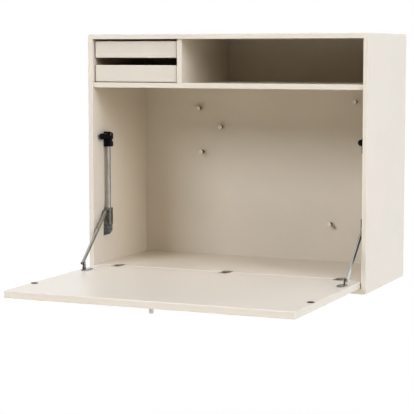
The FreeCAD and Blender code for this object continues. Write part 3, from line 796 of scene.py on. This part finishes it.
# %% Head and shank
head_corners, core_corners = 32, 12
thread_steps, thread_corners = 14, 4
core_top, core_tip = 0.75, 0.3
thread_tip, thread_radius = 0.35, 0.2


def lifted(shape, rise):
    """A shape moved along Z."""
    offset = shape.node("ShaderNodeCombineXYZ", None, {"Z": rise})
    return shape.node("GeometryNodeTransform", None, {"Geometry": shape, "Translation": offset})


def screw_head(given):
    """A countersunk head with a cross recess, its face at height 0."""
    shank, deep = given["Shank"], given["Recess depth"]
    sink = 1.0 - shank
    cone = shank.node("GeometryNodeMeshCone", None, {
        "Vertices": head_corners, "Radius Top": 1.0, "Radius Bottom": shank, "Depth": sink})
    long, thin = 2.0 * given["Recess reach"], 2.0 * given["Recess width"]
    bars = []
    for x, y in ((long, thin), (thin, long)):
        size = shank.node("ShaderNodeCombineXYZ", None, {"X": x, "Y": y, "Z": 2.0 * deep})
        bars.append(shank.node("GeometryNodeMeshCube", None, {"Size": size}))
    return shank.node("GeometryNodeMeshBoolean", {"operation": "DIFFERENCE"}, {
        "Mesh 1": lifted(cone, 0.0 - sink), "Mesh 2": bars})


def screw_shank(given):
    """A tapered core with a thread, from height 0 down to -1."""
    shank = given["Shank"]
    core = shank.node("GeometryNodeMeshCone", None, {
        "Vertices": core_corners, "Radius Top": core_top * shank,
        "Radius Bottom": core_tip * shank, "Depth": 1.0})
    spiral = shank.node("GeometryNodeCurveSpiral", None, {
        "Resolution": thread_steps, "Rotations": given["Thread turns"],
        "Start Radius": thread_tip * shank, "End Radius": core_top * shank, "Height": 1.0})
    section = shank.node("GeometryNodeCurvePrimitiveCircle", None, {
        "Resolution": thread_corners, "Radius": thread_radius * shank})
    thread = shank.node("GeometryNodeCurveToMesh", None, {
        "Curve": spiral, "Profile Curve": section, "Fill Caps": True})
    whole = core.node("GeometryNodeJoinGeometry", None, {"Geometry": [core, thread]})
    return lifted(whole, -1.0)


print("head of", head_corners, "corners, thread of", thread_steps, "steps in a turn")

# %% [markdown]
# The tree sets both on the points, the shank just below the floor of the recess. A seeded spin
# about each axis leaves the crosses at different angles, as a driver does. The screws are made
# real and dressed at the end, because instances don't outlast the export.

# %% The whole screw
recess_room = 1.2


def point_value(wire, name, kind="FLOAT"):
    """A value that is stored on the points."""
    return wire.node("GeometryNodeInputNamedAttribute", {"data_type": kind}, {"Name": name})


def screw_tree():
    tree = bpy.data.node_groups.new("cross_recess_screw", "GeometryNodeTree")
    given = screw_inputs(tree)
    places = given["Places"]
    facing = point_value(places, "facing", "FLOAT_VECTOR")
    head, length = point_value(places, "head"), point_value(places, "length")
    aim = places.node("FunctionNodeAlignRotationToVector", {"axis": "Z"}, {"Vector": facing})
    angle = places.node("FunctionNodeRandomValue", None, {
        3: math.tau, "Seed": given["Seed"]}, output=1)
    spin = places.node("FunctionNodeAxisAngleToRotation", None, {"Angle": angle})
    turn = places.node("FunctionNodeRotateRotation", {"rotation_space": "LOCAL"}, {
        "Rotation": aim, "Rotate By": spin})
    sunk = given["Recess depth"] * head * recess_room
    down = places.node("ShaderNodeVectorMath", {"operation": "SCALE"}, {
        0: facing, "Scale": 0.0 - sunk})
    roots = places.node("GeometryNodeSetPosition", None, {"Geometry": places, "Offset": down})
    made = []
    for points, shape, run in ((places, screw_head(given), head),
                               (roots, screw_shank(given), length - sunk)):
        scale = head.node("ShaderNodeCombineXYZ", None, {"X": head, "Y": head, "Z": run})
        made.append(points.node("GeometryNodeInstanceOnPoints", None, {
            "Points": points, "Instance": shape, "Rotation": turn, "Scale": scale}))
    whole = places.node("GeometryNodeJoinGeometry", None, {"Geometry": made})
    real = whole.node("GeometryNodeRealizeInstances", None, {"Geometry": whole})
    dressed = real.node("GeometryNodeSetMaterial", None, {
        "Geometry": real, "Material": given["Finish"]})
    dressed.node("NodeGroupOutput", None, {"Screws": dressed})
    return tree


screws = screw_tree()
print("nodes in the screw tree:", len(screws.nodes))

# %% [markdown]
# Each body gets one mesh of screws. The points carry the direction, the head's radius and the
# length, the modifier's inputs are set by their identifiers, and the evaluated result becomes
# a plain mesh that replaces the CAD screws.

# %% Screws on the cabinet and the leaf
screw_seed = 7
point_layers = {"facing": "FLOAT_VECTOR", "head": "FLOAT", "length": "FLOAT"}


def screw_points(name, rows):
    """A mesh of points at the heads, which carry the rest of each row."""
    mesh = bpy.data.meshes.new(name)
    mesh.from_pydata([row[0] for row in rows], [], [])
    for index, (layer_name, kind) in enumerate(point_layers.items(), start=1):
        layer = mesh.attributes.new(layer_name, kind, "POINT")
        for item, row in zip(layer.data, rows):
            setattr(item, "vector" if kind == "FLOAT_VECTOR" else "value", row[index])
    points = bpy.data.objects.new(name, mesh)
    bpy.context.scene.collection.objects.link(points)
    return points


def plain_result(points, name):
    """The mesh that the modifier makes, on an object with no modifier."""
    graph = bpy.context.evaluated_depsgraph_get()
    mesh = bpy.data.meshes.new_from_object(points.evaluated_get(graph))
    mesh.name = name
    bpy.data.objects.remove(points)
    piece = bpy.data.objects.new(name, mesh)
    bpy.context.scene.collection.objects.link(piece)
    return piece


def set_screws(body, rows):
    points = screw_points(body + "_screw_places", rows)
    modifier = points.modifiers.new("screws", "NODES")
    modifier.node_group = screws
    values = {**screw_shares, "Seed": screw_seed, "Finish": metals["dull_steel"]}
    for socket in screws.interface.items_tree:
        if socket.name in values:
            modifier[socket.identifier] = values[socket.name]
    return plain_result(points, body + "_screws")


for body, rows in screw_rows.items():
    piece = set_screws(body, rows)
    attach(piece, body)
    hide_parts(*screw_homes[body])
    print(piece.name, "has", len(piece.data.polygons), "faces")
